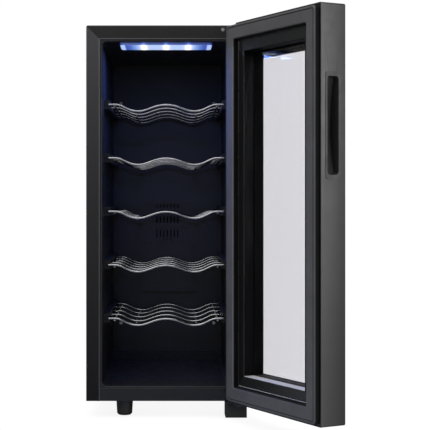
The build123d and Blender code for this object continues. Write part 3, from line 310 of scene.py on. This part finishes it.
def door_skin(door):
    """Moulded rim of the door: a painted highlight makes it paler towards its inner side, and painted shade
    darkens the strip that faces the cabinet.
    """
    m = Material("door_skin_plastic")
    depth = m.axis(door_space(m, door), "Y")
    along = m.span(depth, door["inner"] - DOOR_T, door["inner"])
    cloud = m.span(m.noise(14.0, 3.0), 0.3, 0.7, 0.94, 1.06)
    normal = m.add("ShaderNodeTexCoord").outputs["Normal"]
    outward_x = m.math("MULTIPLY", m.axis(normal, "X"), math.sin(door["angle"]))
    outward_y = m.math("MULTIPLY", m.axis(normal, "Y"), -math.cos(door["angle"]))
    outward = m.math("ADD", outward_x, outward_y)
    # painted shade on the strip that faces the cabinet, times a random tone
    shade = m.math("MULTIPLY", cloud, m.span(outward, -0.95, -0.7, 0.2, 1.0))
    # painted highlight: paler towards the inner side of the rim
    level = m.span(m.math("POWER", along, 1.5), 0.0, 1.0, 0.034, 0.064)
    m.set(color=m.math("MULTIPLY", level, shade))
    m.set(rough=m.span(m.noise(60.0, 4.0), 0.3, 0.7, 0.33, 0.42))
    m.set(spec=m.span(along, 0.0, 1.0, 0.22, 0.5))
    return m.bump(m.cells(3200.0), 0.00004, 0.5).mat


def gasket_rubber(door):
    """Dark grey sealing rubber: a soft bloom on its face, a painted highlight along its inner edges, and painted
    shade darkening its sides.
    """
    m = Material("gasket_rubber")
    face = door["inner"] + GASKET_PROUD
    tint = (1, 1, 1.05)
    bloom = m.ramp(m.noise(30.0, 4.0), (0.3, grey(0.064, tint)), (0.75, grey(0.084, tint)))
    depth = m.axis(door_space(m, door), "Y")
    # painted shade: darker down the sides, below the face
    near_face = m.span(depth, face - 0.0022, face - 0.0005)
    # painted highlight along the inner edges next to the window
    painted_edge_highlight = m.span(m.math("MAXIMUM", *past_window(m, door)), 0.0182, 0.0192, 0.45, 0.0)
    m.set(color=m.mix(near_face, (0.010, 0.010, 0.011), m.mix(painted_edge_highlight, bloom, (0.24, 0.24, 0.25))))
    m.set(spec=m.math("MULTIPLY", near_face, 0.5))
    m.set(rough=m.span(m.noise(90.0, 3.0), 0.3, 0.7, 0.42, 0.56), sheen=0.05)
    return m.bump(m.noise(1800.0, 3.0), 0.00006, 0.4).mat


def light_cover(led_pitch, length):
    """Milky lens over three blue-white diodes, with a clear cell at each end."""
    m = Material("lit_lens")
    spot_size = 0.0036
    x = m.axis(m.coords, "X")
    spots = []
    for place in (-led_pitch, 0.0, led_pitch):
        away = m.math("DIVIDE", m.math("ABSOLUTE", m.math("SUBTRACT", x, place)), spot_size)
        spots.append(m.math("EXPONENT", m.math("MULTIPLY", m.math("POWER", away, 1.4), -1.0)))
    glow = m.math("ADD", m.math("ADD", spots[0], spots[1]), spots[2])
    off_middle = m.math("ABSOLUTE", x)
    spread = m.span(off_middle, 0.038, length / 2 - 0.010, 1.0, 0.30, smooth=True)
    end_cell = m.span(off_middle, length / 2 - 0.009, length / 2 - 0.007)
    band = m.math("ADD", m.math("MULTIPLY", spread, 0.62), m.math("MULTIPLY", end_cell, 0.42))
    facing_up = m.axis(m.add("ShaderNodeNewGeometry").outputs["Normal"], "Z")
    under = m.span(facing_up, -0.9, -0.3, 1.0, 0.0)
    band = m.math("MULTIPLY", band, m.span(under, 0.0, 1.0, 0.05, 1.0))
    glow = m.math("MULTIPLY", glow, m.span(under, 0.0, 1.0, 0.30, 1.0))
    level = m.math("ADD", m.math("ADD", band, glow), 0.02)
    dim, blue, pale, white = (0.01, 0.04, 0.30), (0.04, 0.12, 0.75), (0.32, 0.52, 1.0), (1.0, 1.0, 1.0)
    m.set(color=(0.30, 0.36, 0.55, 1.0), rough=0.3)
    m.set(emit=m.ramp(level, (0.0, dim), (0.18, blue), (0.5, pale), (1.0, white)))
    m.set(emit_strength=m.math("ADD", m.math("MULTIPLY", level, 0.8), 0.4))
    return m.mat


def foam_core():
    """Yellow rigid foam with open cells."""
    m = Material("rigid_foam")
    m.set(color=m.ramp(m.noise(50.0, 4.0), (0.3, (0.70, 0.60, 0.36)), (0.7, (0.80, 0.71, 0.47))))
    m.set(rough=0.9)
    return m.bump(m.cells(1400.0), 0.0004, 0.8).mat


def circuit_board():
    """Green solder mask over copper tracks."""
    m = Material("circuit_board")
    tracks = m.cells(260.0, vector=m.scaled(1, 1, 1.7), feature="DISTANCE_TO_EDGE")
    m.set(color=m.ramp(tracks, (0.02, (0.10, 0.30, 0.14)), (0.06, (0.015, 0.09, 0.035))))
    m.set(rough=0.35, coat=0.4)
    return m.bump(tracks, 0.00004, 0.4).mat


def printed_glass(door):
    """Outer pane: clear in the window, black-printed round its border."""
    m = Material("printed_glass")
    outside = m.span(m.math("MAXIMUM", *past_window(m, door)), 0.0, 0.0004)
    m.set(color=m.mix(outside, GLASS_TINT, PRINT_BLACK), ior=GLASS_IOR)
    m.set(transmission=m.math("SUBTRACT", 1.0, outside))
    m.set(rough=m.span(m.noise(26.0, 5.0), 0.45, 0.8, 0.0, 0.03))
    return m.mat


spacer_low, spacer_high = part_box("glass_spacer")
door = {
    "hinge": next(j for j in frame["joints"] if j["name"] == "door_hinge")["pos_m"],
    "angle": math.radians(118.0),
    "inner": 0.0126,
    "mid_z": (spacer_low.z + spacer_high.z - TOP_PRINT) / 2,
    "half_z": (spacer_high.z - spacer_low.z - TOP_PRINT) / 2,
    "half_x": 0.0848,
}
COOL = (1.0, 1.0, 1.06)
lens_low, lens_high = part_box("light_lens")
materials = {
    "black_painted_steel": shell_paint(*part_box("outer_shell"), SIDE_FLANGE, TOP_FLANGE),
    "bottom_pan": powder_coat("bottom_powder_coat", 0.0080, (1.0, 1.02, 1.15), 0.34),
    "galvanised_steel": metal("galvanised_steel", 0.50, (1, 1, 1.02), 0.45, (1, 1, 0.6), 160.0),
    "grey_liner": moulded("liner_plastic", 0.013, COOL, 0.36, 1800.0, spec=0.35),
    "duct_plastic": moulded("duct_plastic", 0.015, COOL, 0.36, 1800.0, spec=0.5),
    "foam": foam_core(),
    "fan_black": moulded("fan_plastic", 0.02, rough=0.4),
    "aluminium": metal("extruded_aluminium", 0.72, (1, 1, 1.01), 0.32, (1, 1, 0.02)),
    "ceramic_module": moulded("ceramic", 0.8, rough=0.6),
    "screw_steel": metal("zinc_plated_screw", 0.62, (1, 0.99, 0.95), 0.3),
    "chrome_screw": metal("bright_screw", 0.85, (1, 1, 1), 0.16),
    "black_plastic": moulded("black_plastic", 0.018, rough=0.45),
    "white_plastic": moulded("white_plastic", 0.72, rough=0.45),
    "circuit_board": circuit_board(),
    "electronic_parts": moulded("component_body", 0.03, rough=0.3),
    "light_lens": light_cover(LED_PITCH, lens_high.x - lens_low.x),
    "led": moulded("diode", 0.9, rough=0.3),
    "hinge_steel": powder_coat("hinge_paint", 0.018, COOL, 0.38),
    # painted shade: pin metal made dark to match the shade under the hinge plate
    "pin_steel": metal("shade_darkened_pin", 0.16, (1, 1, 1), 0.30),
    "foot_plastic": moulded("foot_plastic", 0.022, (1, 1, 0.98), 0.5),
    "shelf_chrome": chrome_wire(),
    "door_frame_grey": door_skin(door),
    "door_inner_plastic": door_liner(door),
    "gasket": gasket_rubber(door),
    "magnet": moulded("magnet_strip", 0.04, rough=0.7),
    "clear_glass": glazing(),
    "spacer_black": moulded("spacer", 0.006, COOL, rough=0.6, spec=0.12),
    "handle_black": moulded("handle_plastic", 0.030, (1, 1, 1.06), 0.36, 2600.0, 0.00003, 0.35),
    "display": moulded("display_cover", 0.01, rough=0.15),
    "brass_pins": metal("inlet_pin", 0.7, (1, 0.86, 0.55), 0.3),
}
printed = printed_glass(door)

slots = {s["node"]: s["material_slot"] for s in frame["record"]["subparts"]}
for name, obj in NODES.items():
    chosen = printed if name == "outer_glass" else materials[slots[name]]
    obj.data.materials.clear()
    obj.data.materials.append(chosen)


# ---------------------------------------------------------------- softened edges
def soften(names, width):
    """Small rounded bevels on the sharp edges of some pieces."""
    for name in names:
        obj = NODES[name]
        weld = obj.modifiers.new("weld", "WELD")
        weld.merge_threshold = 0.00001
        bevel = obj.modifiers.new("bevel", "BEVEL")
        bevel.width = width
        bevel.segments = 2
        bevel.limit_method = "ANGLE"
        bevel.angle_limit = math.radians(35.0)


soften(["door_frame", "handle_cup"], 0.0006)
soften(["door_inner_frame", "hinge_foot", "lower_hinge_plate", "upper_hinge_bracket"], 0.0004)
soften(["front_left_foot", "rear_left_foot", "rear_right_foot", "power_inlet", "rear_grille"], 0.0004)


# ---------------------------------------------------------------- stage, light and camera
def area_light(name, place, aim, size, power, color=(1, 1, 1)):
    """A rectangular softbox, size across and up, turned towards a point."""
    data = bpy.data.lights.new(name, "AREA")
    data.shape = "RECTANGLE"
    data.size, data.size_y = size
    data.energy = power
    data.color = color
    obj = bpy.data.objects.new(name, data)
    obj.location = place
    obj.rotation_euler = (Vector(aim) - Vector(place)).to_track_quat("-Z", "Y").to_euler()
    scene.collection.objects.link(obj)
    return obj


lens_middle = (lens_low + lens_high) / 2
under_lens = (lens_middle.x, lens_middle.y, lens_low.z - 0.002)
straight_down = (lens_middle.x, lens_middle.y, 0)
cabinet_light = area_light("cabinet_light", under_lens, straight_down, (0.14, 0.03), 2.0, (0.15, 0.26, 1.0))
cabinet_light.visible_glossy = False
area_light("overhead", (0.0, -0.3, 2.6), (0.0, -0.1, 0.5), (2.2, 2.2), 36)
area_light("high_front", (-1.1, -3.4, 2.8), (0.0, -0.2, 0.6), (3.6, 2.4), 46)
area_light("left_side", (-2.4, -1.2, 1.7), (0.1, -0.3, 0.5), (2.2, 2.0), 30)
area_light("right_side", (2.3, -2.3, 0.75), (0.2, -0.4, 0.38), (2.2, 1.1), 39)
area_light("rear_fill", (2.2, 3.2, 2.0), (0.0, 0.2, 0.3), (2.0, 2.0), 30)


def seen_directly(m):
    """1 for what the camera sees straight or through clear glass, 0 for light that has bounced."""
    path = m.add("ShaderNodeLightPath")
    straight = m.math("MAXIMUM", path.outputs["Is Camera Ray"], path.outputs["Is Transmission Ray"])
    bounces = m.math("ADD", path.outputs["Diffuse Depth"], path.outputs["Glossy Depth"])
    return m.math("MULTIPLY", straight, m.math("LESS_THAN", bounces, 0.5))


FLOOR_HALF = 60.0


def stage_floor():
    """A wide white floor. It looks evenly lit, with a faint shade where the cooler stands."""
    mesh = bpy.data.meshes.new("floor")
    shape = bmesh.new()
    bmesh.ops.create_grid(shape, x_segments=2, y_segments=2, size=FLOOR_HALF)
    shape.to_mesh(mesh)
    shape.free()
    floor = bpy.data.objects.new("floor", mesh)
    scene.collection.objects.link(floor)
    m = Material("pale_floor")
    occlusion = m.add("ShaderNodeAmbientOcclusion", samples=8)
    occlusion.inputs["Distance"].default_value = 0.05
    seen = seen_directly(m)
    glow = m.span(occlusion.outputs["AO"], 0.0, 0.8, 0.86, 1.02)
    m.set(color=m.mix(seen, (0.34, 0.34, 0.34), (0.0, 0.0, 0.0)), rough=0.9, spec=0.0)
    m.set(emit=(1, 1, 1, 1), emit_strength=m.math("MULTIPLY", glow, seen))
    mesh.materials.append(m.mat)


def studio_world():
    """White to the camera and through clear glass, dim in reflections."""
    world = bpy.data.worlds.new("studio")
    scene.world = world
    world.use_nodes = True
    graph = NodeGraph(world.node_tree)
    background = graph.tree.nodes["Background"]
    graph.link(graph.span(seen_directly(graph), 0.0, 1.0, 0.14, 1.02), background.inputs["Strength"])
    background.inputs["Color"].default_value = (1, 1, 1, 1)


stage_floor()
studio_world()

camera_data = bpy.data.cameras.new("camera")
camera_data.sensor_width = 36.0
camera_data.lens = 103.53
camera_data.shift_x = 0.0919
camera_data.shift_y = -0.0313
camera = bpy.data.objects.new("camera", camera_data)
camera.location = (0.0154, -2.228, 0.3487)
camera.rotation_euler = (math.radians(90), 0, 0)
scene.collection.objects.link(camera)
scene.camera = camera
scene.view_settings.view_transform = "Standard"
